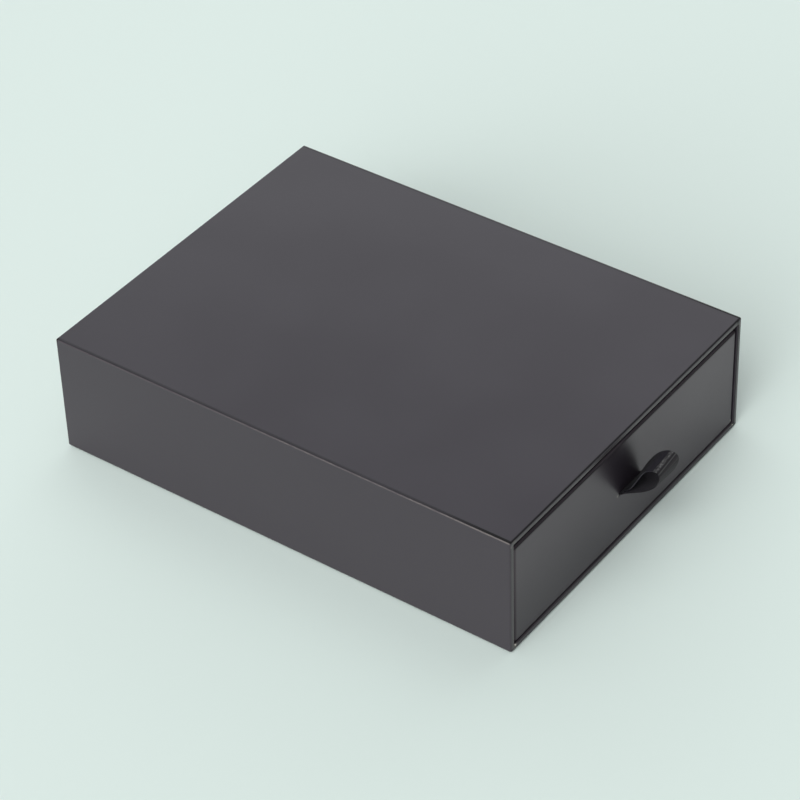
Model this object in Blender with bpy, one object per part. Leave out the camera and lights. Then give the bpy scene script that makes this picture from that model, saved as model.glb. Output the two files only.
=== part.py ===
"""Rigid drawer box: a paper-covered greyboard sleeve and a drawer with a ribbon pull.

Metres. +X runs along the sleeve to its open mouth, +Y across it to the right as seen from the mouth,
and +Z up. The origin is the middle of the underside, so the box stands on Z = 0. The drawer slides along
+X on the empty drawer_slide_axis, and the ribbon loop turns about Y on the empty ribbon_hinge_axis.
"""

import math

import bmesh
import bpy
from mathutils import Vector

# Outer size of the sleeve
SLEEVE_LENGTH = 0.150
SLEEVE_WIDTH = 0.112
SLEEVE_HEIGHT = 0.038
TOP_EDGE_RADIUS = 0.0005
BASE_EDGE_RADIUS = 0.0008

# Layers of a wall, and the thin space that glue fills between two of them
BOARD = 0.0012
PAPER = 0.00015
STAY_PAPER = 0.00010
GLUE_LINE = 0.00010

# A paper folded round a square board edge clears it at this share of the glue line over its own thickness
FOLD_SHARE = 2.5
# Least radius of a fold on its inner side
CREASE_RADIUS = 0.00015
# The outer edge of the mouth's rim is pressed round, with this share of the wall's thickness as its radius
MOUTH_RIM_SHARE = 0.30

# How far the sleeve's wrap is turned into the mouth, under the base and over the back
MOUTH_TURN_IN = 0.015
BASE_TURN_UNDER = 0.014
BACK_TURN_OVER = 0.012
# Bare border that the covering sheets leave on the base and on the back
BASE_SHEET_INSET = 0.0030
BACK_SHEET_INSET = 0.0015

# Running clearances of the drawer in the sleeve
SEAT_GAP = 0.0002
HEAD_ROOM = 0.0017
SIDE_PLAY = 0.0011
DRAWER_SHIFT = 0.00025
DRAWER_RECESS = 0.0004

# Drawer: its upright edges, the edges round its base, and the bevel along its rim with the folds beside it
DRAWER_EDGE_RADIUS = 0.0008
DRAWER_FOOT_RADIUS = 0.0005
DRAWER_BEVEL = 0.00055
BEVEL_FOLD_RADIUS = 0.00035
STAY_LEG = 0.014

# Ribbon pull and its slot, which lies this far under the middle of the drawer's front
RIBBON_WIDTH = 0.0104
RIBBON_THICKNESS = 0.00035
RIBBON_SHIFT = 0.0010
SLOT_DROP = 0.0010
SLOT_EASE = 0.0003
STRAND_GAP = 0.0001
TAIL_LENGTH = 0.0065
TAIL_BEND_SHARE = 0.75

# The loop bends about a line this far out of the drawer's front, and its root starts past that line
HINGE_STANDOFF = 0.00035
ROOT_GAP = 0.0003
ROOT_RUN = 0.0016
ROOT_ANGLE = math.radians(38)

# Side view of the loop's middle line, from the lower strand round to the upper one, measured from the
# slot: shares of the loop's reach out of the drawer and of its rise over the slot
LOOP_REACH = 0.0117
LOOP_RISE = 0.0120
LOOP_SHARES = (
    (0.285, 0.160),
    (0.440, 0.245),
    (0.590, 0.335),
    (0.735, 0.440),
    (0.870, 0.565),
    (0.955, 0.695),
    (0.990, 0.830),
    (0.960, 0.940),
    (0.870, 0.995),
    (0.755, 0.985),
    (0.640, 0.915),
    (0.535, 0.790),
    (0.435, 0.620),
    (0.340, 0.440),
    (0.250, 0.280),
)

# Paper patch over the ribbon's ends, inside the drawer
PATCH_MARGIN = 0.003
PATCH_EASE = 0.0004
PATCH_SLOPE = 0.0008

# Cutters run this far past what they cut
CUT_OVERRUN = 0.0010

# Straight pieces of each round edge, and of each span of the ribbon's line
EDGE_STEPS = 4
FOLD_STEPS = 5
CORNER_STEPS = 6
RIBBON_STEPS = 4
SHARP_ANGLE = math.radians(40)

# Colour, roughness and metallic value of each kind of surface
LOOKS = {
    "black_paper": ((0.050, 0.050, 0.055), 0.42, 0.0),
    "black_lining": ((0.030, 0.030, 0.033), 0.60, 0.0),
    "greyboard": ((0.300, 0.285, 0.260), 0.90, 0.0),
    "stay_paper": ((0.560, 0.520, 0.450), 0.80, 0.0),
    "grosgrain": ((0.012, 0.012, 0.014), 0.65, 0.0),
}

# Layers of the sleeve's wall, from its outer face inwards
FOLD_RADIUS = PAPER + FOLD_SHARE * GLUE_LINE
BOARD_INSET = PAPER + GLUE_LINE
BOARD_DEPTH = BOARD_INSET + BOARD
LINING_INSET = BOARD_DEPTH + GLUE_LINE
WALL = LINING_INSET + PAPER
MOUTH_RIM_RADIUS = MOUTH_RIM_SHARE * WALL

# Planes of the sleeve
MOUTH = SLEEVE_LENGTH / 2
BACK_FACE = -MOUTH
TUBE_BOTTOM = PAPER + GLUE_LINE
WRAP_BACK = BACK_FACE + PAPER + GLUE_LINE
BOARD_BACK = WRAP_BACK + BOARD_INSET
BACK_BOARD_FRONT = BOARD_BACK + BOARD
BACK_LINING_BACK = BACK_BOARD_FRONT + GLUE_LINE
BACK_LINING_FRONT = BACK_LINING_BACK + PAPER
TURN_IN_END = MOUTH - MOUTH_TURN_IN
TUBE_RADII = (TOP_EDGE_RADIUS, TOP_EDGE_RADIUS, BASE_EDGE_RADIUS, BASE_EDGE_RADIUS)

# Layers of the drawer's wall, which also holds the corner stays
STAY_INSET = PAPER + GLUE_LINE
DRAWER_BOARD_INSET = STAY_INSET + STAY_PAPER + GLUE_LINE
DRAWER_BOARD_DEPTH = DRAWER_BOARD_INSET + BOARD
DRAWER_WALL = DRAWER_BOARD_DEPTH + GLUE_LINE + PAPER
# Share of a layer's depth by which the ends of its 45-degree bevel move along the two faces
BEVEL_END_SHARE = math.tan(math.radians(22.5))

# Planes of the drawer
DRAWER_FRONT = MOUTH - DRAWER_RECESS
DRAWER_BACK = BACK_LINING_FRONT + SEAT_GAP
DRAWER_HALF_WIDTH = (SLEEVE_WIDTH - SIDE_PLAY) / 2 - WALL
DRAWER_LEFT = DRAWER_SHIFT - DRAWER_HALF_WIDTH
DRAWER_RIGHT = DRAWER_SHIFT + DRAWER_HALF_WIDTH
DRAWER_BASE = TUBE_BOTTOM + WALL + SEAT_GAP
DRAWER_TOP = SLEEVE_HEIGHT - WALL - HEAD_ROOM
DRAWER_MIDDLE = (DRAWER_BASE + DRAWER_TOP) / 2
BOTTOM_BOARD_TOP = DRAWER_BASE + BOARD_DEPTH
WALL_BOARD_FOOT = BOTTOM_BOARD_TOP + GLUE_LINE
FLOOR_TOP = WALL_BOARD_FOOT + PAPER
FRONT_INNER_FACE = DRAWER_FRONT - DRAWER_WALL

# Places of the ribbon
SLOT_MIDDLE = DRAWER_MIDDLE - SLOT_DROP
STRAND_OFFSET = (RIBBON_THICKNESS + STRAND_GAP) / 2
TAIL_LINE = FRONT_INNER_FACE - GLUE_LINE - RIBBON_THICKNESS / 2
HINGE_LINE = DRAWER_FRONT + HINGE_STANDOFF
RIBBON_LEFT = RIBBON_SHIFT - RIBBON_WIDTH / 2
RIBBON_RIGHT = RIBBON_SHIFT + RIBBON_WIDTH / 2


def clear_scene():
    """Removes every object, so that a second run starts afresh."""
    for old in list(bpy.data.objects):
        bpy.data.objects.remove(old, do_unlink=True)


def make_material(name, look):
    """A Principled material in one of the colours of LOOKS."""
    colour, roughness, metallic = LOOKS[look]
    material = bpy.data.materials.new(name)
    material.use_nodes = True
    shader = material.node_tree.nodes["Principled BSDF"]
    shader.inputs["Base Color"].default_value = (*colour, 1.0)
    shader.inputs["Roughness"].default_value = roughness
    shader.inputs["Metallic"].default_value = metallic
    material.diffuse_color = (*colour, 1.0)
    return material


def add_axis(name, place, parent=None):
    """An empty at a place of the part's frame, which a moving body hangs on."""
    axis = bpy.data.objects.new(name, None)
    bpy.context.scene.collection.objects.link(axis)
    axis.parent = parent
    axis.location = Vector(place) - (parent.location if parent else Vector())
    return axis


def world_place(axis):
    """Where an empty lies in the part's frame."""
    place = Vector()
    while axis is not None:
        place += axis.location
        axis = axis.parent
    return place


def add_object(name, shape, look, axis):
    """Turns a bmesh in the part's frame into a named object that hangs on an empty."""
    bmesh.ops.recalc_face_normals(shape, faces=shape.faces)
    bmesh.ops.translate(shape, verts=shape.verts, vec=-world_place(axis))
    mesh = bpy.data.meshes.new(name)
    shape.to_mesh(mesh)
    shape.free()
    mesh.shade_smooth()
    mesh.set_sharp_from_angle(angle=SHARP_ANGLE)
    mesh.materials.append(make_material(name + "_" + look, look))
    piece = bpy.data.objects.new(name, mesh)
    bpy.context.scene.collection.objects.link(piece)
    piece.parent = axis
    return piece


def loft(rings, closed=False):
    """Skins rings of equally many points: a closed band, or a body capped at both ends."""
    shape = bmesh.new()
    rows = [[shape.verts.new(point) for point in ring] for ring in rings]
    pairs = list(zip(rows, rows[1:]))
    if closed:
        pairs.append((rows[-1], rows[0]))
    for one, other in pairs:
        for i in range(len(one)):
            j = (i + 1) % len(one)
            shape.faces.new((one[i], one[j], other[j], other[i]))
    if not closed:
        shape.faces.new(rows[0])
        shape.faces.new(rows[-1])
    return shape


def stacked_in_x(x, point):
    """A point of a cross-section in YZ, at X."""
    return (x, point[0], point[1])


def stacked_in_y(y, point):
    """A point of a side view in XZ, at Y."""
    return (point[0], y, point[1])


def stacked_in_z(z, point):
    """A point of a plan in XY, at Z."""
    return (point[0], point[1], z)


def prism(outline, low, high, place):
    """An outline carried from low to high along the direction that place stacks in."""
    return loft([[place(level, point) for point in outline] for level in (low, high)])


def box(low, high):
    """A plain block between two corners."""
    plan = rounded_rectangle(low[:2], high[:2], (0, 0, 0, 0))
    return prism(plan, low[2], high[2], stacked_in_z)


def corner_arc(centre, radius, start, end, steps):
    """Points of an arc about a centre, from one angle to another."""
    return [
        (
            centre[0] + radius * math.cos(start + (end - start) * i / steps),
            centre[1] + radius * math.sin(start + (end - start) * i / steps),
        )
        for i in range(steps + 1)
    ]


def rectangle_corners(low, high, radii):
    """Centre and start angle of each corner's arc: high high, low high, low low, high low."""
    signs = ((1, 1), (-1, 1), (-1, -1), (1, -1))
    corners = []
    for i, (sign, radius) in enumerate(zip(signs, radii)):
        across = high[0] - radius if sign[0] > 0 else low[0] + radius
        up = high[1] - radius if sign[1] > 0 else low[1] + radius
        corners.append(((across, up), i * math.pi / 2))
    return corners


def rounded_rectangle(low, high, radii):
    """Outline of a rectangle with a radius at each corner, or one point where the radius is zero."""
    outline = []
    for (centre, start), radius in zip(rectangle_corners(low, high, radii), radii):
        if radius > 0:
            outline += corner_arc(centre, radius, start, start + math.pi / 2, CORNER_STEPS)
        else:
            outline.append(centre)
    return outline


def rounded_path(points, radii):
    """The line through some points of a plane, with an arc at each point between its ends."""
    points = [Vector(point) for point in points]
    path = [points[0]]
    for before, corner, after, radius in zip(points, points[1:], points[2:], radii):
        into = (corner - before).normalized()
        out = (after - corner).normalized()
        turn = into.angle(out)
        side = (out - into * into.dot(out)).normalized()
        start = corner - into * radius * math.tan(turn / 2)
        centre = start + side * radius
        for i in range(FOLD_STEPS + 1):
            angle = turn * i / FOLD_STEPS
            path.append(centre - side * radius * math.cos(angle) + into * radius * math.sin(angle))
    path.append(points[-1])
    return path


def smooth_path(points, steps):
    """A smooth line through all the points of a plane."""
    points = [Vector(point) for point in points]
    ends = [2 * points[0] - points[1]] + points + [2 * points[-1] - points[-2]]
    path = []
    for a, b, c, d in zip(ends, ends[1:], ends[2:], ends[3:]):
        for i in range(steps):
            t = i / steps
            path.append(
                (2 * b + (c - a) * t + (2 * a - 5 * b + 4 * c - d) * t**2 + (3 * b - a - 3 * c + d) * t**3) / 2
            )
    path.append(points[-1])
    return path


def strip(path, thickness, low, high, place):
    """A sheet of even thickness that follows a path and reaches from low to high across it."""
    path = [Vector(point) for point in path]
    rings = []
    for i, point in enumerate(path):
        along = (path[min(i + 1, len(path) - 1)] - path[max(i - 1, 0)]).normalized()
        normal = Vector((-along.y, along.x)) * thickness / 2
        left = point + normal
        right = point - normal
        rings.append([place(low, left), place(high, left), place(high, right), place(low, right)])
    return loft(rings)


def relief_sheet(centre, half_outer, half_raised, slope, face, rise, thickness):
    """A sheet across X, glued down along its border and lifted by rise in the middle.

    centre, half_outer and half_raised are pairs for Y and Z, and face is the X that the border lies on.
    """
    lines = []
    for middle, outer, raised in zip(centre, half_outer, half_raised):
        offsets = (-outer, -raised - slope, -raised, raised, raised + slope, outer)
        lines.append([middle + offset for offset in offsets])
    last = len(lines[0]) - 1
    shape = bmesh.new()
    layers = []
    for depth in (0, thickness):
        layer = []
        for i, y in enumerate(lines[0]):
            row = []
            for j, z in enumerate(lines[1]):
                lifted = 1 < i < last - 1 and 1 < j < last - 1
                row.append(shape.verts.new((face - depth - (rise if lifted else 0), y, z)))
            layer.append(row)
        layers.append(layer)
    for layer in layers:
        for i in range(last):
            for j in range(last):
                shape.faces.new((layer[i][j], layer[i + 1][j], layer[i + 1][j + 1], layer[i][j + 1]))
    rim = [(i, 0) for i in range(last)] + [(last, j) for j in range(last)]
    rim += [(last - i, last) for i in range(last)] + [(0, last - j) for j in range(last)]
    for (a, b), (c, d) in zip(rim, rim[1:] + rim[:1]):
        shape.faces.new((layers[0][a][b], layers[0][c][d], layers[1][c][d], layers[1][a][b]))
    return shape


def add_cutter(name, low, high, axis, pieces):
    """A hidden block that is cut out of some pieces."""
    cutter = add_object(name, box(low, high), "black_paper", axis)
    cutter.hide_render = True
    cutter.display_type = "WIRE"
    for piece in pieces:
        cut = piece.modifiers.new(name, "BOOLEAN")
        cut.operation = "DIFFERENCE"
        cut.solver = "EXACT"
        cut.object = cutter
    return cutter


def tube_ring(x, inset):
    """The sleeve's cross-section at X, taken in from its outer face by inset."""
    low = (-SLEEVE_WIDTH / 2 + inset, TUBE_BOTTOM + inset)
    high = (SLEEVE_WIDTH / 2 - inset, SLEEVE_HEIGHT - inset)
    radii = [max(radius - inset, CREASE_RADIUS) for radius in TUBE_RADII]
    return [stacked_in_x(x, point) for point in rounded_rectangle(low, high, radii)]


def eased_edge(radius, inset, start_inset):
    """Section of a board's rounded edge, whose centre lies radius in from both faces of the wrap.

    The arc lies inset under the wrap's outer face. Each point is the depth under that face, from
    start_inset on, and the distance from the rim.
    """
    arc = radius - inset
    start = math.acos(min((radius - start_inset) / arc, 1))
    edge = []
    for i in range(EDGE_STEPS + 1):
        angle = start + (math.pi / 2 - start) * i / EDGE_STEPS
        edge.append((radius - arc * math.cos(angle), radius - arc * math.sin(angle)))
    return edge


def panel_outline(first, inset):
    """Cross-section of the sleeve board between one corner and the next, mitred at both.

    Its outer side lies inset under the wrap's outer face.
    """
    low = (-SLEEVE_WIDTH / 2 + inset, TUBE_BOTTOM + inset)
    high = (SLEEVE_WIDTH / 2 - inset, SLEEVE_HEIGHT - inset)
    radii = [max(radius - inset, CREASE_RADIUS) for radius in TUBE_RADII]
    outer = rectangle_corners(low, high, radii)
    left = BOARD_DEPTH - inset
    inner = rectangle_corners(
        (low[0] + left, low[1] + left), (high[0] - left, high[1] - left), (0, 0, 0, 0)
    )
    second = (first + 1) % len(outer)
    outline = []
    for corner, start_share, end_share in ((first, 0.5, 1), (second, 0, 0.5)):
        centre, start = outer[corner]
        gap = math.asin(min(GLUE_LINE / 2 / radii[corner], 1))
        begin = start + start_share * math.pi / 2 + (gap if corner == first else 0)
        end = start + end_share * math.pi / 2 - (gap if corner == second else 0)
        outline += corner_arc(centre, radii[corner], begin, end, EDGE_STEPS)
    near = Vector(inner[first][0])
    far = Vector(inner[second][0])
    back_off = (far - near).normalized() * GLUE_LINE / 2 / math.sin(math.pi / 4)
    outline += [far - back_off, near + back_off]
    return outline


def build_sleeve(axis):
    """The greyboard tube with its closed back, its coverings and its linings."""
    stations = [(BOARD_BACK, BOARD_INSET)]
    for depth, setback in eased_edge(MOUTH_RIM_RADIUS, BOARD_INSET, BOARD_INSET):
        stations.append((MOUTH - setback, depth))
    for first, side in enumerate(("top", "left", "bottom", "right")):
        rings = [[stacked_in_x(x, point) for point in panel_outline(first, inset)] for x, inset in stations]
        add_object("sleeve_" + side + "_board", loft(rings), "greyboard", axis)

    low = (-SLEEVE_WIDTH / 2 + LINING_INSET, TUBE_BOTTOM + LINING_INSET)
    high = (SLEEVE_WIDTH / 2 - LINING_INSET, SLEEVE_HEIGHT - LINING_INSET)
    add_object("sleeve_back_board", box((BOARD_BACK, *low), (BACK_BOARD_FRONT, *high)), "greyboard", axis)
    shape = box((BACK_LINING_BACK, *low), (BACK_LINING_FRONT, *high))
    add_object("sleeve_back_lining", shape, "black_lining", axis)

    start = BACK_LINING_FRONT + GLUE_LINE
    end = TURN_IN_END - GLUE_LINE
    section = ((start, LINING_INSET), (end, LINING_INSET), (end, WALL), (start, WALL))
    rings = [tube_ring(x, inset) for x, inset in section]
    add_object("sleeve_lining", loft(rings, closed=True), "black_lining", axis)

    low = (BACK_FACE, -SLEEVE_WIDTH / 2 + BACK_SHEET_INSET, TUBE_BOTTOM + BACK_SHEET_INSET)
    high = (BACK_FACE + PAPER, SLEEVE_WIDTH / 2 - BACK_SHEET_INSET, SLEEVE_HEIGHT - BACK_SHEET_INSET)
    add_object("sleeve_back_sheet", box(low, high), "black_paper", axis)
    low = (BACK_FACE + BASE_SHEET_INSET, -SLEEVE_WIDTH / 2 + BASE_SHEET_INSET, 0)
    high = (MOUTH - BASE_SHEET_INSET, SLEEVE_WIDTH / 2 - BASE_SHEET_INSET, PAPER)
    add_object("sleeve_base_sheet", box(low, high), "black_paper", axis)

    build_sleeve_wrap(axis)


def build_sleeve_wrap(axis):
    """The paper round the tube, turned into the mouth, over the back and under the base."""
    inner_fold = FOLD_RADIUS - PAPER
    outer_side = rounded_path(
        (
            (WRAP_BACK, BACK_TURN_OVER),
            (WRAP_BACK, 0),
            (MOUTH, 0),
            (MOUTH, WALL),
            (TURN_IN_END, WALL),
        ),
        (FOLD_RADIUS, MOUTH_RIM_RADIUS, FOLD_RADIUS),
    )
    inner_side = rounded_path(
        (
            (TURN_IN_END, LINING_INSET),
            (MOUTH - PAPER, LINING_INSET),
            (MOUTH - PAPER, PAPER),
            (WRAP_BACK + PAPER, PAPER),
            (WRAP_BACK + PAPER, BACK_TURN_OVER),
        ),
        (inner_fold, MOUTH_RIM_RADIUS - PAPER, inner_fold),
    )
    rings = [tube_ring(x, inset) for x, inset in outer_side + inner_side]
    wrap = add_object("sleeve_wrap", loft(rings, closed=True), "black_paper", axis)

    half_length = SLEEVE_LENGTH / 2 - BASE_TURN_UNDER
    half_width = SLEEVE_WIDTH / 2 - BASE_TURN_UNDER
    low = (-half_length, -half_width, -CUT_OVERRUN)
    high = (half_length, half_width, TUBE_BOTTOM + PAPER + GLUE_LINE / 2)
    add_cutter("base_window_cutter", low, high, axis, [wrap])


def drawer_ring(inset, z):
    """The drawer's plan at Z, taken in from its outer face by inset."""
    low = (DRAWER_BACK + inset, DRAWER_LEFT + inset)
    high = (DRAWER_FRONT - inset, DRAWER_RIGHT - inset)
    radius = max(DRAWER_EDGE_RADIUS - inset, CREASE_RADIUS)
    return [stacked_in_z(z, point) for point in rounded_rectangle(low, high, (radius,) * 4)]


def bevel_ends(depth):
    """Foot and head of the rim's bevel in a layer at some depth, each as inset and Z."""
    shift = depth * BEVEL_END_SHARE
    return (depth, DRAWER_TOP - DRAWER_BEVEL - shift), (DRAWER_BEVEL + shift, DRAWER_TOP - depth)


def wall_plan(side, inset):
    """Plan of a wall board of the drawer, whose outer side lies inset under the wrap's outer face."""
    radius = max(DRAWER_EDGE_RADIUS - inset, CREASE_RADIUS)
    left = DRAWER_LEFT + inset
    right = DRAWER_RIGHT - inset
    back_inner = DRAWER_BACK + DRAWER_BOARD_DEPTH
    front_inner = DRAWER_FRONT - DRAWER_BOARD_DEPTH
    if side == "front":
        return rounded_rectangle((front_inner, left), (DRAWER_FRONT - inset, right), (radius, 0, 0, radius))
    if side == "back":
        return rounded_rectangle((DRAWER_BACK + inset, left), (back_inner, right), (0, radius, radius, 0))
    start = back_inner + GLUE_LINE
    end = front_inner - GLUE_LINE
    if side == "left":
        return rounded_rectangle((start, left), (end, DRAWER_LEFT + DRAWER_BOARD_DEPTH), (0, 0, 0, 0))
    return rounded_rectangle((start, DRAWER_RIGHT - DRAWER_BOARD_DEPTH), (end, right), (0, 0, 0, 0))


def build_drawer_boards(axis):
    """The bottom board and the four wall boards that stand on it. Returns the front one."""
    rings = []
    for inset, rise in reversed(eased_edge(DRAWER_FOOT_RADIUS, BOARD_INSET, DRAWER_BOARD_INSET)):
        rings.append(drawer_ring(inset, DRAWER_BASE + rise))
    rings.append(drawer_ring(DRAWER_BOARD_INSET, BOTTOM_BOARD_TOP))
    add_object("drawer_bottom_board", loft(rings), "greyboard", axis)

    foot, head = bevel_ends(BOARD_INSET)
    start = foot[1] + DRAWER_BOARD_INSET - foot[0]
    levels = ((DRAWER_BOARD_INSET, WALL_BOARD_FOOT), (DRAWER_BOARD_INSET, start), head)
    boards = {}
    for side in ("front", "back", "left", "right"):
        rings = []
        for inset, z in levels:
            rings.append([stacked_in_z(z, point) for point in wall_plan(side, inset)])
        boards[side] = add_object("drawer_" + side + "_board", loft(rings), "greyboard", axis)
    return boards["front"]


def build_corner_stays(axis):
    """Paper tape round each upright corner, between the boards and the wrap."""
    line = STAY_INSET + STAY_PAPER / 2
    foot = DRAWER_BASE + DRAWER_EDGE_RADIUS
    head = DRAWER_TOP - DRAWER_BEVEL - GLUE_LINE
    radius = max(DRAWER_EDGE_RADIUS - line, CREASE_RADIUS)
    for end, x, inward in (("front", DRAWER_FRONT, -1), ("back", DRAWER_BACK, 1)):
        for side, y, sideways in (("left", DRAWER_LEFT, 1), ("right", DRAWER_RIGHT, -1)):
            corners = ((line, STAY_LEG), (line, line), (STAY_LEG, line))
            points = [(x + inward * a, y + sideways * b) for a, b in corners]
            shape = strip(rounded_path(points, (radius,)), STAY_PAPER, foot, head, stacked_in_z)
            add_object("corner_stay_" + end + "_" + side, shape, "stay_paper", axis)


def build_drawer_papers(axis):
    """The drawer's wrap, turned over the rim and down to the floor, and the floor lining."""
    inner_fold = FOLD_RADIUS - PAPER
    turn_in_end = FLOOR_TOP + GLUE_LINE
    flat = 2 * DRAWER_FOOT_RADIUS
    outer_foot, outer_head = bevel_ends(0)
    inner_foot, inner_head = bevel_ends(PAPER)
    outer_side = rounded_path(
        (
            (flat, DRAWER_BASE),
            (0, DRAWER_BASE),
            outer_foot,
            outer_head,
            (DRAWER_WALL, DRAWER_TOP),
            (DRAWER_WALL, turn_in_end),
        ),
        (DRAWER_FOOT_RADIUS, BEVEL_FOLD_RADIUS, BEVEL_FOLD_RADIUS, FOLD_RADIUS),
    )
    inner_side = rounded_path(
        (
            (DRAWER_WALL - PAPER, turn_in_end),
            (DRAWER_WALL - PAPER, DRAWER_TOP - PAPER),
            inner_head,
            inner_foot,
            (PAPER, DRAWER_BASE + PAPER),
            (flat, DRAWER_BASE + PAPER),
        ),
        (inner_fold, BEVEL_FOLD_RADIUS - PAPER, BEVEL_FOLD_RADIUS - PAPER, DRAWER_FOOT_RADIUS - PAPER),
    )
    rings = [drawer_ring(inset, z) for inset, z in outer_side + inner_side]
    wrap = add_object("drawer_wrap", loft(rings), "black_paper", axis)

    inset = DRAWER_BOARD_DEPTH + GLUE_LINE
    low = (DRAWER_BACK + inset, DRAWER_LEFT + inset, WALL_BOARD_FOOT)
    high = (DRAWER_FRONT - inset, DRAWER_RIGHT - inset, FLOOR_TOP)
    add_object("drawer_floor_lining", box(low, high), "black_lining", axis)
    return wrap


def build_ribbon_ends(axis):
    """The ribbon's two ends, glued up and down the inside of the front, and the patch over them."""
    bend = RIBBON_THICKNESS * TAIL_BEND_SHARE
    for name, way in (("upper", 1), ("lower", -1)):
        level = SLOT_MIDDLE + way * STRAND_OFFSET
        points = ((DRAWER_FRONT, level), (TAIL_LINE, level), (TAIL_LINE, level + way * TAIL_LENGTH))
        path = rounded_path(points, (bend,))
        shape = strip(path, RIBBON_THICKNESS, RIBBON_LEFT, RIBBON_RIGHT, stacked_in_y)
        add_object("ribbon_" + name + "_end", shape, "grosgrain", axis)

    raised = (RIBBON_WIDTH / 2 + PATCH_EASE, STRAND_OFFSET + TAIL_LENGTH + PATCH_EASE)
    outer = [half + PATCH_MARGIN for half in raised]
    rise = RIBBON_THICKNESS + GLUE_LINE
    face = FRONT_INNER_FACE - GLUE_LINE
    shape = relief_sheet((RIBBON_SHIFT, SLOT_MIDDLE), outer, raised, PATCH_SLOPE, face, rise, PAPER)
    add_object("ribbon_patch", shape, "black_lining", axis)


def build_ribbon_loop(axis):
    """The loop outside the drawer, whose two strands lie together at its root."""
    along = Vector((math.cos(ROOT_ANGLE), math.sin(ROOT_ANGLE)))
    across = Vector((-along.y, along.x)) * STRAND_OFFSET
    root = Vector((HINGE_LINE, SLOT_MIDDLE)) + along * ROOT_GAP
    shoulder = root + along * ROOT_RUN
    points = [root - across, shoulder - across]
    for reach, rise in LOOP_SHARES:
        points.append((DRAWER_FRONT + reach * LOOP_REACH, SLOT_MIDDLE + rise * LOOP_RISE))
    points += [shoulder + across, root + across]
    path = smooth_path(points, RIBBON_STEPS)
    shape = strip(path, RIBBON_THICKNESS, RIBBON_LEFT, RIBBON_RIGHT, stacked_in_y)
    add_object("ribbon_loop", shape, "grosgrain", axis)


def build_drawer(axis):
    """The drawer with its coverings, its slot and the fixed ends of its ribbon."""
    front = build_drawer_boards(axis)
    build_corner_stays(axis)
    wrap = build_drawer_papers(axis)
    build_ribbon_ends(axis)
    half_slot = STRAND_OFFSET + RIBBON_THICKNESS / 2 + SLOT_EASE
    low = (FRONT_INNER_FACE - CUT_OVERRUN, RIBBON_LEFT - SLOT_EASE, SLOT_MIDDLE - half_slot)
    high = (DRAWER_FRONT + CUT_OVERRUN, RIBBON_RIGHT + SLOT_EASE, SLOT_MIDDLE + half_slot)
    add_cutter("ribbon_slot_cutter", low, high, axis, [front, wrap])


def main():
    clear_scene()
    sleeve_axis = add_axis("sleeve_origin", (0, 0, 0))
    slide_axis = add_axis("drawer_slide_axis", (DRAWER_FRONT, DRAWER_SHIFT, DRAWER_MIDDLE))
    hinge_axis = add_axis("ribbon_hinge_axis", (HINGE_LINE, RIBBON_SHIFT, SLOT_MIDDLE), slide_axis)
    build_sleeve(sleeve_axis)
    build_drawer(slide_axis)
    build_ribbon_loop(hinge_axis)


main()
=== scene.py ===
import math

import bmesh
import bpy
from mathutils import Matrix, Vector


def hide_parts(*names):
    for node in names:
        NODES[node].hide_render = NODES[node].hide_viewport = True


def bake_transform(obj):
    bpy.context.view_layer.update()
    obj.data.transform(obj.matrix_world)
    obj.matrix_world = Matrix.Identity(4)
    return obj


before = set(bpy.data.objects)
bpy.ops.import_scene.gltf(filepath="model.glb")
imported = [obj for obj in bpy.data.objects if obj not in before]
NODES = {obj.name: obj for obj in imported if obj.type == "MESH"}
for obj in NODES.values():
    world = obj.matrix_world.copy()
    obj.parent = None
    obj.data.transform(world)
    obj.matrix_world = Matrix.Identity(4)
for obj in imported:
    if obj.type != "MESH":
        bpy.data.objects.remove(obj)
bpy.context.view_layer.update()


# ---- small helpers for node trees

def new_material(name):
    mat = bpy.data.materials.new(name)
    mat.use_nodes = True
    return mat, mat.node_tree, mat.node_tree.nodes["Principled BSDF"]


def put(tree, socket, value):
    """Sets a socket from another socket or from a plain value."""
    if isinstance(value, bpy.types.NodeSocket):
        tree.links.new(value, socket)
    else:
        socket.default_value = value


def math_node(tree, operation, *values):
    node = tree.nodes.new("ShaderNodeMath")
    node.operation = operation
    for socket, value in zip(node.inputs, values):
        put(tree, socket, value)
    return node.outputs[0]


def chain(tree, operation, values):
    total = values[0]
    for value in values[1:]:
        total = math_node(tree, operation, total, value)
    return total


def times(tree, *values):
    return chain(tree, "MULTIPLY", values)


def plus(tree, *values):
    return chain(tree, "ADD", values)


def most(tree, *values):
    return chain(tree, "MAXIMUM", values)


def ramp(tree, value, low, high, to_low=0.0, to_high=1.0):
    """Smooth step of a value between two limits."""
    node = tree.nodes.new("ShaderNodeMapRange")
    node.interpolation_type = "SMOOTHSTEP"
    put(tree, node.inputs["Value"], value)
    for name, number in (("From Min", low), ("From Max", high), ("To Min", to_low), ("To Max", to_high)):
        node.inputs[name].default_value = number
    return node.outputs["Result"]


def coords(tree):
    """Place in the row frame, in metres: the vector and its X, Y and Z."""
    place = tree.nodes.new("ShaderNodeTexCoord").outputs["Object"]
    split = tree.nodes.new("ShaderNodeSeparateXYZ")
    tree.links.new(place, split.inputs[0])
    return place, split.outputs[0], split.outputs[1], split.outputs[2]


def scaled(tree, place, factors):
    node = tree.nodes.new("ShaderNodeMapping")
    tree.links.new(place, node.inputs["Vector"])
    node.inputs["Scale"].default_value = factors
    return node.outputs[0]


def noise(tree, place, size, detail=2.0, roughness=0.5, distortion=0.0):
    """Noise whose lumps are about size metres across."""
    node = tree.nodes.new("ShaderNodeTexNoise")
    tree.links.new(place, node.inputs["Vector"])
    node.inputs["Scale"].default_value = 1.0 / size
    node.inputs["Detail"].default_value = detail
    node.inputs["Roughness"].default_value = roughness
    node.inputs["Distortion"].default_value = distortion
    return node.outputs["Fac"]


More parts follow.
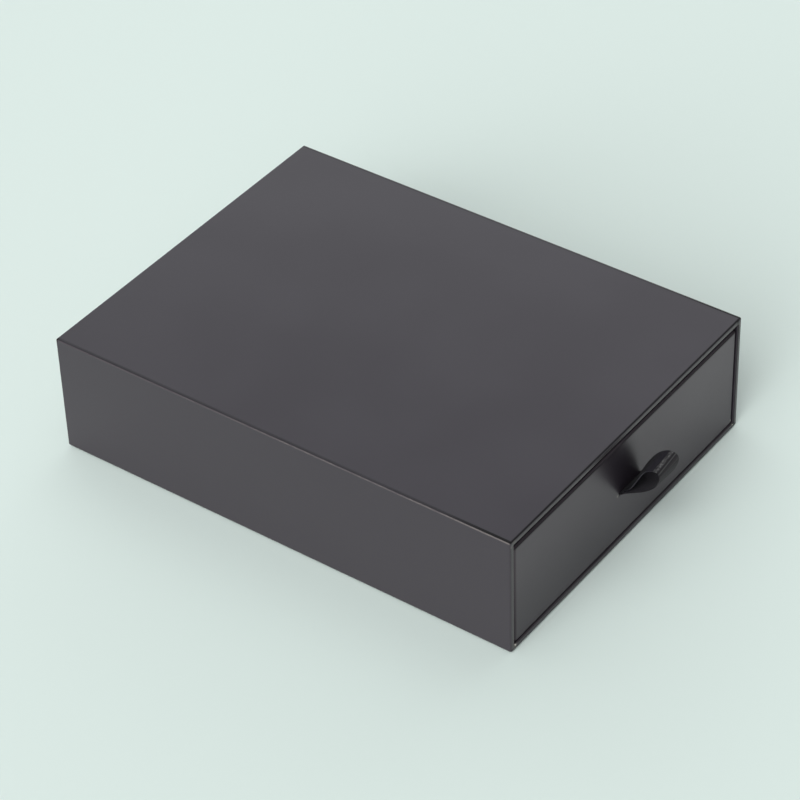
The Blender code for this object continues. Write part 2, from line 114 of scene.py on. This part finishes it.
def mix_colour(tree, share, first, second):
    node = tree.nodes.new("ShaderNodeMix")
    node.data_type = "RGBA"
    put(tree, node.inputs["Factor"], share)
    put(tree, node.inputs["A"], first)
    put(tree, node.inputs["B"], second)
    return node.outputs["Result"]


def bump(tree, height, distance, strength=1.0, normal=None):
    node = tree.nodes.new("ShaderNodeBump")
    put(tree, node.inputs["Height"], height)
    node.inputs["Distance"].default_value = distance
    node.inputs["Strength"].default_value = strength
    if normal is not None:
        tree.links.new(normal, node.inputs["Normal"])
    return node.outputs["Normal"]


def grey(value):
    return (value, value, value, 1.0)


# ---- the box's papers and boards

# outer faces of the sleeve, and the drawer's front and upper edge
MOUTH_X = 0.075
SIDE_Y = 0.056
TOP_Z = 0.038
DRAWER_FRONT = 0.0746
DRAWER_TOP = 0.0346

BLACK = (0.0216, 0.0182, 0.0260, 1.0)
BLACK_LIGHT = (0.0238, 0.0204, 0.0286, 1.0)
# painted counter-tint: the walls' black is less green and blue than the top's, against the mint floor's green in their
# reflections
WALL_COUNTER_BLACK = (0.0216, 0.0173, 0.0240, 1.0)
FIBRE = grey(0.060)
# painted shade in the folds, on the mouth's rim and under the drawer's bevel; also the colour of a real nick
SHADE_AND_NICK_BLACK = grey(0.006)
# colour of worn paper; also painted as a highlight along the upper folds and the drawer's lower edge
WEAR_AND_HIGHLIGHT = (0.175, 0.155, 0.140, 1.0)
SPLIT = (0.55, 0.52, 0.47, 1.0)
TOP_TINT = (1.0, 0.925, 0.985, 1.0)
# painted counter-tints: the walls' and the drawer's film reflect redder than the top's, so that the mint floor's green
# drops out of their reflections
WALL_COUNTER_TINT = (1.0, 0.870, 0.900, 1.0)
DRAWER_COUNTER_TINT = (1.0, 0.780, 0.865, 1.0)
FILM_IOR = 1.62

# sizes of lumps in the papers and the ribbon, in metres
CLOUD = 0.035
GRAIN = 0.00022
PEEL = 0.0016


def on_top(tree, z):
    """1 on the sleeve's top, 0 on everything below it."""
    return ramp(tree, z, TOP_Z - 0.00020, TOP_Z - 0.00004)


def laminated_paper(name, tints, wear_and_highlight_marks, shade_and_nick_marks, sheen):
    """Black paper under a satin film.

    tints are the film's colours on the walls and on the top; the walls' tint is a painted counter-tint against the mint
    floor's green. The three functions after them say where the paper is worn (over 1 it is split) or carries a painted
    highlight, where shade is painted or the paper is nicked, and how much the film shines, varying by place as a
    painted reflection.
    """
    mat, tree, shader = new_material(name)
    place, x, y, z = coords(tree)
    cloud = noise(tree, place, CLOUD, 3.0)
    grain = noise(tree, place, GRAIN, 3.0, 0.6)
    peel = noise(tree, place, PEEL, 2.0)
    flat = on_top(tree, z)
    top = mix_colour(tree, ramp(tree, cloud, 0.35, 0.65), BLACK, BLACK_LIGHT)
    tone = mix_colour(tree, flat, WALL_COUNTER_BLACK, top)
    tone = mix_colour(tree, ramp(tree, grain, 0.45, 0.75, 0.0, 0.08), tone, FIBRE)
    # wear, and painted highlights on the upper folds and the drawer's lower edge
    wear_and_highlight = wear_and_highlight_marks(tree, place, x, y, z)
    # painted shade in folds, at the mouth's rim and under the drawer's bevel, and a real nick
    shade_and_nick = shade_and_nick_marks(tree, place, x, y, z)
    colour = mix_colour(tree, wear_and_highlight, mix_colour(tree, shade_and_nick, tone, SHADE_AND_NICK_BLACK), WEAR_AND_HIGHLIGHT)
    put(tree, shader.inputs["Base Color"], mix_colour(tree, ramp(tree, wear_and_highlight, 1.0, 2.0), colour, SPLIT))
    level = times(tree, sheen(tree, y, z), ramp(tree, shade_and_nick, 0.0, 1.0, 1.0, 0.24))
    put(tree, shader.inputs["Specular IOR Level"], level)
    rough = plus(
        tree,
        ramp(tree, cloud, 0.3, 0.7, 0.350, 0.380),
        ramp(tree, grain, 0.3, 0.8, 0.0, 0.03),
        ramp(tree, wear_and_highlight, 0.0, 1.0, 0.0, 0.25),
    )
    put(tree, shader.inputs["Roughness"], rough)
    shader.inputs["IOR"].default_value = FILM_IOR
    put(tree, shader.inputs["Specular Tint"], mix_colour(tree, flat, *tints))
    relief = bump(tree, grain, 0.000012, 0.6)
    relief = bump(tree, peel, 0.000018, 0.5, relief)
    put(tree, shader.inputs["Normal"], relief)
    return mat


def spot(tree, place, centre, radius):
    """1 at a point, 0 from about radius on."""
    node = tree.nodes.new("ShaderNodeVectorMath")
    node.operation = "DISTANCE"
    tree.links.new(place, node.inputs[0])
    node.inputs[1].default_value = centre
    ragged = ramp(tree, noise(tree, place, 0.0004, 3.0, 0.7), 0.3, 0.7, -radius * 0.4, radius * 0.4)
    return ramp(tree, plus(tree, node.outputs["Value"], ragged), radius * 0.55, radius, 1.0, 0.0)


def specks(tree, place, wear_and_highlight, spots):
    """Adds spots of wear to the mask of wear and painted highlight: centre, radius and how strong each is."""
    for centre, radius, share in spots:
        wear_and_highlight = plus(tree, wear_and_highlight, times(tree, spot(tree, place, centre, radius), share))
    return wear_and_highlight


# split paper in the lower corners of the mouth, at a corner of the drawer's front and at the slot's end, and a fleck
SLEEVE_SPECKS = (((0.0750, -0.05390, 0.00180), 0.00045, 2.0), ((0.0750, 0.05385, 0.00155), 0.00035, 2.0))
DRAWER_SPECKS = (
    ((0.0746, 0.05345, 0.0032), 0.00045, 2.2), ((0.0746, -0.0052, 0.0172), 0.00050, 1.25),
    ((0.0746, 0.0009, 0.0243), 0.00032, 0.5),
)
REAR_NICK = ((-0.0747, -0.0557, 0.0378), 0.0009)


def sleeve_folds(tree, place, x, y, z):
    """Worn line along the long upper folds, growing paler towards the front as a painted highlight; rubbed inner rim of
    the mouth; split paper in its lower corners.
    """
    side = math_node(tree, "ABSOLUTE", y)
    stretched = scaled(tree, place, (0.3, 1.0, 1.0))
    line = times(
        tree,
        ramp(tree, side, SIDE_Y - 0.00028, SIDE_Y - 0.00010),
        ramp(tree, z, TOP_Z - 0.00048, TOP_Z - 0.00034),
        ramp(tree, z, TOP_Z - 0.00010, TOP_Z - 0.00003, 1.0, 0.0),
        ramp(tree, noise(tree, stretched, 0.0016, 4.0, 0.7), 0.35, 0.6, 0.25, 1.0),
        # painted highlight: the worn line grows paler towards the front
        ramp(tree, x, -0.050, 0.070, 0.10, 0.50),
    )
    front = ramp(tree, x, MOUTH_X - 0.00015, MOUTH_X - 0.00005)
    near = times(
        tree,
        ramp(tree, y, -SIDE_Y + 0.0007, -SIDE_Y + 0.0013),
        ramp(tree, y, -SIDE_Y + 0.0030, -SIDE_Y + 0.0020),
    )
    upper = times(tree, ramp(tree, z, TOP_Z - 0.0007, TOP_Z - 0.0013), ramp(tree, z, TOP_Z - 0.0020, TOP_Z - 0.0018))
    rubbed = ramp(tree, noise(tree, place, 0.006, 3.0), 0.3, 0.7, 0.20, 0.32)
    wear_and_highlight = plus(tree, line, times(tree, front, most(tree, near, upper), rubbed))
    return specks(tree, place, wear_and_highlight, SLEEVE_SPECKS)


def sleeve_shade_and_nick(tree, place, x, y, z):
    """Painted shade: dark on the top just inside the long folds, along the mouth's upper front fold, at the foot of the
    mouth's rim and on the inner part of its right side beside the gap; a real nick at the rear corner.
    """
    side = math_node(tree, "ABSOLUTE", y)
    stretched = scaled(tree, place, (0.25, 1.0, 1.0))
    band = times(
        tree,
        ramp(tree, side, SIDE_Y - 0.00125, SIDE_Y - 0.00080),
        ramp(tree, side, SIDE_Y - 0.00028, SIDE_Y - 0.00010, 1.0, 0.0),
        ramp(tree, z, TOP_Z - 0.00020, TOP_Z - 0.00008),
        ramp(tree, noise(tree, stretched, 0.004, 3.0), 0.3, 0.7, 0.75, 1.0),
        ramp(tree, x, 0.045, 0.072, 0.50, 0.95),
    )
    fold = times(
        tree,
        ramp(tree, x, MOUTH_X - 0.00075, MOUTH_X - 0.00035),
        ramp(tree, z, TOP_Z - 0.00030, TOP_Z - 0.00014, 0.0, 0.75),
    )
    right = times(
        tree,
        ramp(tree, y, SIDE_Y - 0.00115, SIDE_Y - 0.00140, 0.0, 0.8),
        ramp(tree, y, SIDE_Y - 0.0030, SIDE_Y - 0.0020),
    )
    foot = ramp(tree, z, 0.00170, 0.00120, 0.0, 0.45)
    rim = times(tree, ramp(tree, x, MOUTH_X - 0.00020, MOUTH_X - 0.00008), most(tree, right, foot))
    return most(tree, band, rim, fold, spot(tree, place, *REAR_NICK))


def sleeve_sheen(tree, y, z):
    """Painted reflection: the film's shine rises towards the foot of the walls and across the top towards +Y, standing
    in for brighter reflected light there.
    """
    walls = ramp(tree, z, 0.0, TOP_Z - 0.0005, 0.545, 0.49)
    across = ramp(tree, y, -SIDE_Y, SIDE_Y, -0.035, 0.045)
    return plus(tree, walls, times(tree, across, on_top(tree, z)))


def drawer_folds(tree, place, x, y, z):
    """A little wear on the bevel of the drawer's rim, and a painted highlight along the front's lower edge."""
    rim = ramp(tree, z, DRAWER_TOP - 0.00065, DRAWER_TOP - 0.00050)
    patchy = ramp(tree, noise(tree, place, 0.0022, 4.0, 0.7), 0.55, 0.75, 0.0, 0.10)
    # the lightening along the lower edge is a painted highlight
    wear_and_highlight = most(tree, times(tree, rim, patchy), ramp(tree, z, 0.00300, 0.00240, 0.0, 0.10))
    return specks(tree, place, wear_and_highlight, DRAWER_SPECKS)


def drawer_painted_shade(tree, place, x, y, z):
    """Painted shade: a dull dark band just below the rim's bevel, where the front lies in shade under the sleeve's rim.
    """
    return times(
        tree,
        ramp(tree, z, DRAWER_TOP - 0.00150, DRAWER_TOP - 0.00060, 0.0, 0.62),
        ramp(tree, z, DRAWER_TOP - 0.00046, DRAWER_TOP - 0.00036, 1.0, 0.0),
    )


def drawer_sheen(tree, y, z):
    """Painted reflection: the film's shine rises towards the top and the right (+Y) of the front, standing in for a
    brighter reflection of the floor there.
    """
    return plus(tree, ramp(tree, z, 0.003, 0.031, 0.43, 0.67), ramp(tree, y, -0.020, 0.040, -0.030, 0.060))


def plain_paper(name, colour, roughness, size, contrast):
    """Uncoated paper: fibres of about size metres."""
    mat, tree, shader = new_material(name)
    place = coords(tree)[0]
    fibre = noise(tree, scaled(tree, place, (1.0, 0.45, 1.0)), size, 4.0, 0.65, 0.6)
    cloud = noise(tree, place, 0.012, 3.0)
    share = plus(tree, ramp(tree, fibre, 0.35, 0.7, 0.0, 0.7), ramp(tree, cloud, 0.3, 0.7, 0.0, 0.3))
    light = tuple(min(1.0, c * (1 + contrast)) for c in colour[:3]) + (1.0,)
    put(tree, shader.inputs["Base Color"], mix_colour(tree, share, colour, light))
    put(tree, shader.inputs["Roughness"], ramp(tree, fibre, 0.3, 0.7, roughness - 0.05, roughness + 0.05))
    put(tree, shader.inputs["Normal"], bump(tree, fibre, 0.00003, 0.7))
    return mat


def greyboard():
    """Grey recycled board with pale and dark flecks."""
    mat, tree, shader = new_material("greyboard")
    place = coords(tree)[0]
    pulp = noise(tree, place, 0.0006, 5.0, 0.7)
    fleck = noise(tree, scaled(tree, place, (1.0, 1.0, 2.5)), 0.0003, 2.0, 0.5, 1.2)
    base = mix_colour(tree, ramp(tree, pulp, 0.3, 0.7), (0.25, 0.235, 0.21, 1.0), (0.36, 0.345, 0.32, 1.0))
    base = mix_colour(tree, ramp(tree, fleck, 0.66, 0.74), base, (0.09, 0.08, 0.075, 1.0))
    base = mix_colour(tree, ramp(tree, fleck, 0.36, 0.30, 0.0, 0.8), base, (0.62, 0.60, 0.56, 1.0))
    put(tree, shader.inputs["Base Color"], base)
    shader.inputs["Roughness"].default_value = 0.9
    put(tree, shader.inputs["Normal"], bump(tree, pulp, 0.00006, 0.8))
    return mat


def dress(material, *names):
    for name in names:
        mesh = NODES[name].data
        mesh.materials.clear()
        mesh.materials.append(material)
        for poly in mesh.polygons:
            poly.material_index = 0


sleeve_paper = laminated_paper("sleeve_paper", (WALL_COUNTER_TINT, TOP_TINT), sleeve_folds, sleeve_shade_and_nick, sleeve_sheen)
drawer_paper = laminated_paper("drawer_paper", (DRAWER_COUNTER_TINT, DRAWER_COUNTER_TINT), drawer_folds, drawer_painted_shade, drawer_sheen)
lining_paper = plain_paper("lining_paper", (0.022, 0.022, 0.024, 1.0), 0.62, 0.00035, 0.7)
stay_tape = plain_paper("stay_tape", (0.46, 0.42, 0.35, 1.0), 0.8, 0.0004, 0.35)
board = greyboard()

dress(sleeve_paper, "sleeve_wrap", "sleeve_base_sheet", "sleeve_back_sheet")
dress(drawer_paper, "drawer_wrap")
dress(lining_paper, "sleeve_lining", "sleeve_back_lining", "drawer_floor_lining", "ribbon_patch")
dress(board, *[name for name in NODES if name.endswith("_board")])
dress(stay_tape, *[name for name in NODES if name.startswith("corner_stay")])


# ---- the ribbon

SLOT_Y = 0.0010
SLOT_Z = 0.017375
RIBBON_WIDTH = 0.0104
RIBBON_THICKNESS = 0.00034
RIB_PITCH = 0.00060
RIB_HEIGHT = 0.00002
# step along the ribbon, and steps across it
RIBBON_STEP = 0.00006
ACROSS = 26
# half the distance between the two strands in the slot, where the glued ends lie, and heights along each of them
STRAND = 0.000225
TAIL_X = 0.072425
TAIL_HEIGHTS = (0.0065, 0.0045, 0.0025, 0.0010)
# side views of the loop's middle line at its near and far edge, in mm from the slot
NEAR_EDGE = (
    (3.12, 1.74), (4.72, 2.66), (6.26, 3.57), (7.80, 4.57), (9.32, 5.80), (10.50, 7.06), (11.32, 8.50),
    (11.86, 9.87), (12.00, 10.98), (11.86, 11.74), (11.43, 12.25), (10.73, 12.47), (9.78, 12.33), (8.60, 11.82),
    (7.66, 11.07), (6.70, 9.80), (5.56, 7.60), (4.40, 5.32), (3.22, 3.25),
)
FAR_EDGE = (
    (3.00, 1.50), (4.60, 2.20), (6.15, 2.95), (7.68, 3.78), (9.10, 4.80), (10.18, 6.12), (10.84, 7.64),
    (11.32, 9.08), (11.46, 10.18), (11.23, 11.10), (10.62, 11.60), (9.69, 11.78), (8.66, 11.66), (7.28, 10.98),
    (5.74, 9.80), (4.20, 7.93), (2.72, 5.48), (1.62, 3.36),
)


def smooth_line(points, step, count=None):
    """Points about step apart on a smooth curve through the given ones."""
    points = [Vector(p) for p in points]
    ends = [2 * points[0] - points[1]] + points + [2 * points[-1] - points[-2]]
    fine = []
    for a, b, c, d in zip(ends, ends[1:], ends[2:], ends[3:]):
        for i in range(24):
            t = i / 24
            fine.append((2 * b + (c - a) * t + (2 * a - 5 * b + 4 * c - d) * t**2 + (3 * b - a - 3 * c + d) * t**3) / 2)
    fine.append(points[-1])
    lengths = [0.0]
    for p, q in zip(fine, fine[1:]):
        lengths.append(lengths[-1] + (q - p).length)
    count = count or max(2, round(lengths[-1] / step))
    line = []
    j = 0
    for i in range(count + 1):
        want = lengths[-1] * i / count
        while j < len(fine) - 2 and lengths[j + 1] < want:
            j += 1
        span = lengths[j + 1] - lengths[j] or 1.0
        line.append(fine[j].lerp(fine[j + 1], (want - lengths[j]) / span))
    return line, lengths[-1]


def ribbon_route(edge):
    """Side view of the ribbon's middle line, from its lower end inside the drawer to its upper one."""
    loop = [(DRAWER_FRONT + u / 1000, SLOT_Z + w / 1000) for u, w in edge]
    low, high = SLOT_Z - STRAND, SLOT_Z + STRAND
    lower = [(TAIL_X, low - height) for height in TAIL_HEIGHTS]
    lower += [
        (TAIL_X + 0.00002, low - 0.0004), (TAIL_X + 0.0002, low - 0.00005), (TAIL_X + 0.0007, low),
        (TAIL_X + 0.0015, low), (DRAWER_FRONT + 0.0002, low + 0.00005),
        (DRAWER_FRONT + 0.0009, SLOT_Z + 0.00030), (DRAWER_FRONT + 0.0018, SLOT_Z + 0.0010),
    ]
    upper = [
        (DRAWER_FRONT + 0.00130, SLOT_Z + 0.0017), (DRAWER_FRONT + 0.0007, SLOT_Z + 0.00085),
        (DRAWER_FRONT + 0.0003, high + 0.00015), (TAIL_X + 0.0015, high), (TAIL_X + 0.0007, high),
        (TAIL_X + 0.0002, high + 0.00005), (TAIL_X + 0.00002, high + 0.0004),
    ]
    upper += [(TAIL_X, high + height) for height in reversed(TAIL_HEIGHTS)]
    return lower + loop + upper


def build_ribbon():
    """The ribbon as one closed strip, with two values at each point for its material.

    ahead is the way to the loop's crest in mm, positive in front of it, and inner is 1 on the loop's inner face.
    """
    near, near_length = smooth_line(ribbon_route(NEAR_EDGE), RIBBON_STEP)
    far, far_length = smooth_line(ribbon_route(FAR_EDGE), RIBBON_STEP, len(near) - 1)
    length = (near_length + far_length) / 2
    sides = [(-1 + 2 * k / ACROSS, 1) for k in range(ACROSS + 1)]
    sides += [(1 - 2 * k / ACROSS, -1) for k in range(ACROSS + 1)]
    last = len(near) - 1
    rings = []
    for i in range(last + 1):
        rib = RIB_HEIGHT * math.cos(2 * math.pi * length * i / last / RIB_PITCH)
        ring = []
        for s, side in sides:
            share = (s + 1) / 2
            point = near[i].lerp(far[i], share)
            after, before = min(i + 1, last), max(i - 1, 0)
            along = (near[after].lerp(far[after], share) - near[before].lerp(far[before], share)).normalized()
            normal = Vector((-along.y, along.x))
            selvedge = 1 - 0.30 * max(0.0, abs(s) - 0.94) / 0.06
            offset = point + normal * side * (RIBBON_THICKNESS / 2 + rib) * selvedge
            width = RIBBON_WIDTH / 2 + (rib * 0.6 if abs(s) == 1 else 0.0)
            ring.append((offset.x, SLOT_Y + s * width, offset.y))
        rings.append(ring)
    bm = bmesh.new()
    rows = [[bm.verts.new(p) for p in ring] for ring in rings]
    for a, b in zip(rows, rows[1:]):
        for k in range(len(a)):
            m = (k + 1) % len(a)
            bm.faces.new((a[k], a[m], b[m], b[k]))
    bm.faces.new(rows[0])
    bm.faces.new(rows[-1])
    bmesh.ops.recalc_face_normals(bm, faces=bm.faces)
    mesh = bpy.data.meshes.new("ribbon")
    bm.to_mesh(mesh)
    bm.free()
    step = 1000 * length / last
    crests = [step * max(range(last + 1), key=lambda i: edge[i].y) for edge in (near, far)]
    middle = [crests[0] + (crests[1] - crests[0]) * (s + 1) / 2 for s, side in sides]
    ahead = [crest - step * i for i in range(last + 1) for crest in middle]
    inner = [1.0 if side > 0 else 0.0 for i in range(last + 1) for s, side in sides]
    for name, values in (("ahead", ahead), ("inner", inner)):
        mesh.attributes.new(name, "FLOAT", "POINT").data.foreach_set("value", values)
    mesh.shade_smooth()
    mesh.set_sharp_from_angle(angle=math.radians(50))
    ribbon = bpy.data.objects.new("ribbon", mesh)
    bpy.context.scene.collection.objects.link(ribbon)
    return ribbon, length


def attribute(tree, name):
    node = tree.nodes.new("ShaderNodeAttribute")
    node.attribute_name = name
    return node.outputs["Fac"]


THREAD = 0.00016
CLOTH_DARK = (0.0088, 0.0083, 0.0104, 1.0)
CLOTH_LIGHT = (0.0150, 0.0145, 0.0170, 1.0)
# colours painted for light on the ribbon: lit inner face, reflection on the front, lit back face, highlight on part of
# the edges, shine on the fold
INNER_PAINTED_LIGHT = (0.175, 0.160, 0.190, 1.0)
FRONT_PAINTED_REFLECTION = (0.038, 0.0335, 0.0375, 1.0)
BACK_PAINTED_LIGHT = (0.0225, 0.0205, 0.0270, 1.0)
EDGE_PAINTED_HIGHLIGHT = (0.036, 0.034, 0.040, 1.0)
FOLD_PAINTED_SHINE = grey(0.14)
# painted counter-tint: the ribbon's reflections are tinted red against the mint floor's green
CLOTH_COUNTER_TINT = (1.0, 0.85, 0.90, 1.0)


def grosgrain():
    """Black ribbon: ribs across it, fine warp threads along it, with painted light: a broken painted highlight on the
    loop's fold, painted light on its inner face and on its back, a painted reflection on its front and a painted
    highlight on part of its edges.
    """
    mat, tree, shader = new_material("grosgrain")
    place, x, y, z = coords(tree)
    warp = math_node(tree, "SINE", times(tree, y, 2 * math.pi / THREAD))
    fuzz = noise(tree, place, 0.00012, 3.0, 0.6)
    lumps = noise(tree, scaled(tree, place, (1.0, 0.45, 1.0)), 0.00042, 3.0, 0.6, 0.8)
    off_middle = math_node(tree, "ABSOLUTE", math_node(tree, "SUBTRACT", y, SLOT_Y))
    edge = ramp(tree, off_middle, RIBBON_WIDTH / 2 - 0.00014, RIBBON_WIDTH / 2 - 0.00003)
    ahead = attribute(tree, "ahead")
    inside = attribute(tree, "inner")
    outer = math_node(tree, "SUBTRACT", 1.0, inside)
    inner = times(tree, inside, math_node(tree, "SUBTRACT", 1.0, edge))

    def line(middle, half):
        off = math_node(tree, "ABSOLUTE", math_node(tree, "SUBTRACT", ahead, middle))
        return ramp(tree, off, half * 0.5, half, 1.0, 0.0)

    # painted highlight: a broken streak on the crest and two fainter lines in front of it, lightening the colour and
    # raising the shine
    flecks = ramp(tree, noise(tree, scaled(tree, place, (1.0, 0.6, 1.0)), 0.00045, 2.0, 0.6), 0.42, 0.57, 0.25, 1.0)
    uneven = ramp(tree, lumps, 0.36, 0.60, 0.30, 1.0)
    streak = times(tree, line(-0.02, 0.66), flecks, uneven)
    second = times(tree, line(1.15, 0.20), 0.34)
    third = times(tree, line(2.30, 0.18), 0.12)
    shine = times(tree, outer, most(tree, streak, second, third))

    # painted reflection: the loop's front is lightened where it reflects the floor
    front = times(tree, outer, ramp(tree, ahead, 1.0, 2.2))
    # painted light on the loop's inner face, strongest from the crest back
    painted_hollow_light = times(tree, inner, ramp(tree, ahead, 2.5, -1.0, 0.12, 1.0))
    # painted light on the back face, fading out in the shade near the slot
    behind = times(tree, outer, ramp(tree, ahead, -0.4, -0.9), ramp(tree, ahead, -7.0, -3.0, 0.0, 0.7))
    # painted highlight along part of the upper strand's edges
    rim = times(tree, edge, ramp(tree, ahead, -2.6, -4.2), ramp(tree, ahead, -13.4, -12.2, 0.0, 0.8))
    tone = mix_colour(tree, ramp(tree, fuzz, 0.35, 0.7), CLOTH_DARK, CLOTH_LIGHT)
    for share, colour in ((painted_hollow_light, INNER_PAINTED_LIGHT), (front, FRONT_PAINTED_REFLECTION), (behind, BACK_PAINTED_LIGHT), (rim, EDGE_PAINTED_HIGHLIGHT)):
        tone = mix_colour(tree, share, tone, colour)
    put(tree, shader.inputs["Base Color"], mix_colour(tree, times(tree, shine, 0.8), tone, FOLD_PAINTED_SHINE))

    rough = plus(
        tree,
        ramp(tree, shine, 0.0, 1.0, 0.56, 0.34),
        ramp(tree, fuzz, 0.3, 0.7, 0.0, 0.06),
        times(tree, front, 0.18),
    )
    put(tree, shader.inputs["Roughness"], rough)
    gloss = plus(tree, ramp(tree, ahead, -0.6, 0.4, 0.10, 0.24), times(tree, front, -0.07))
    gloss = times(tree, gloss, ramp(tree, edge, 0.0, 1.0, 1.0, 0.2))
    put(tree, shader.inputs["Specular IOR Level"], plus(tree, gloss, times(tree, shine, 0.4)))
    shader.inputs["IOR"].default_value = 1.45
    shader.inputs["Specular Tint"].default_value = CLOTH_COUNTER_TINT
    shader.inputs["Sheen Weight"].default_value = 0.02
    shader.inputs["Sheen Roughness"].default_value = 0.4
    relief = bump(tree, warp, 0.00001, 0.5)
    relief = bump(tree, fuzz, 0.00002, 0.5, relief)
    relief = bump(tree, lumps, 0.00010, 0.45, relief)
    put(tree, shader.inputs["Normal"], relief)
    return mat


ribbon, RIBBON_LENGTH = build_ribbon()
ribbon.data.materials.append(grosgrain())
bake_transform(ribbon)
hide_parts("ribbon_loop", "ribbon_upper_end", "ribbon_lower_end")


# ---- studio

MINT = (0.745, 0.824, 0.790)
FLOOR_SIZE = 12.0
# azimuth from +X towards +Y, elevation, where each light starts and is full (cosines), strength
SOFT_LIGHTS = (
    (105, 3, 0.78, 0.98, 1.541), (150, 3, 0.78, 0.98, 1.906), (270, 3, 0.78, 0.98, 5.05),
    (285, 45, 0.90, 0.995, 4.45), (90, 60, 0.90, 0.995, 0.75), (210, 75, 0.50, 0.95, 0.377),
)
AROUND = 0.15
LIGHT_COLOUR = (1.0, 1.04, 1.035, 1.0)
# camera: azimuth from -Y towards +X, elevation and roll in degrees, what it looks at, distance, lens in pixels
CAMERA_ANGLES = (37.08, 39.055, -2.00)
CAMERA_TARGET = (0.00453, -0.00632, 0.019)
CAMERA_DISTANCE = 0.85210
LENS_PIXELS = 3107.0
IMAGE_PIXELS = 800
SENSOR = 36.0


def make_floor():
    bpy.ops.mesh.primitive_plane_add(size=FLOOR_SIZE, location=(0, 0, 0))
    floor = bpy.context.object
    floor.name = "floor"
    mat, tree, shader = new_material("floor")
    shade = ramp(tree, noise(tree, coords(tree)[0], 0.4, 2.0), 0.3, 0.7)
    low = tuple(c * 0.996 for c in MINT) + (1.0,)
    put(tree, shader.inputs["Base Color"], mix_colour(tree, shade, low, (*MINT, 1.0)))
    shader.inputs["Roughness"].default_value = 1.0
    shader.inputs["Specular IOR Level"].default_value = 0.0
    floor.data.materials.append(mat)


def soft_light(tree, direction, azimuth, elevation, low, high, strength):
    turn, tilt = math.radians(azimuth), math.radians(elevation)
    node = tree.nodes.new("ShaderNodeVectorMath")
    node.operation = "DOT_PRODUCT"
    tree.links.new(direction, node.inputs[0])
    node.inputs[1].default_value = (math.cos(turn) * math.cos(tilt), math.sin(turn) * math.cos(tilt), math.sin(tilt))
    return ramp(tree, node.outputs["Value"], low, high, 0.0, strength)


def make_world():
    """A soft studio: wide lights from the left, a dimmer wall behind, little from in front."""
    world = bpy.data.worlds.new("studio")
    world.use_nodes = True
    bpy.context.scene.world = world
    tree = world.node_tree
    tree.nodes.clear()
    out = tree.nodes.new("ShaderNodeOutputWorld")
    back = tree.nodes.new("ShaderNodeBackground")
    direction = tree.nodes.new("ShaderNodeTexCoord").outputs["Generated"]
    lights = [soft_light(tree, direction, *values) for values in SOFT_LIGHTS]
    put(tree, back.inputs["Strength"], plus(tree, *lights, AROUND))
    back.inputs["Color"].default_value = LIGHT_COLOUR
    tree.links.new(back.outputs[0], out.inputs["Surface"])


def make_camera():
    az, el, roll = (math.radians(v) for v in CAMERA_ANGLES)
    back = Vector((math.sin(az) * math.cos(el), -math.cos(az) * math.cos(el), math.sin(el)))
    right = (-back).cross(Vector((0, 0, 1))).normalized()
    up = right.cross(-back)
    turned = right * math.cos(roll) + up * math.sin(roll)
    up = up * math.cos(roll) - right * math.sin(roll)
    data = bpy.data.cameras.new("camera")
    data.sensor_width = SENSOR
    data.lens = LENS_PIXELS / IMAGE_PIXELS * SENSOR
    data.clip_start = 0.01
    data.clip_end = 50.0
    camera = bpy.data.objects.new("camera", data)
    place = Matrix((turned, up, back)).transposed().to_4x4()
    place.translation = Vector(CAMERA_TARGET) + back * CAMERA_DISTANCE
    camera.matrix_world = place
    bpy.context.scene.collection.objects.link(camera)
    bpy.context.scene.camera = camera


make_floor()
make_world()
make_camera()
bpy.context.scene.view_settings.view_transform = "Standard"
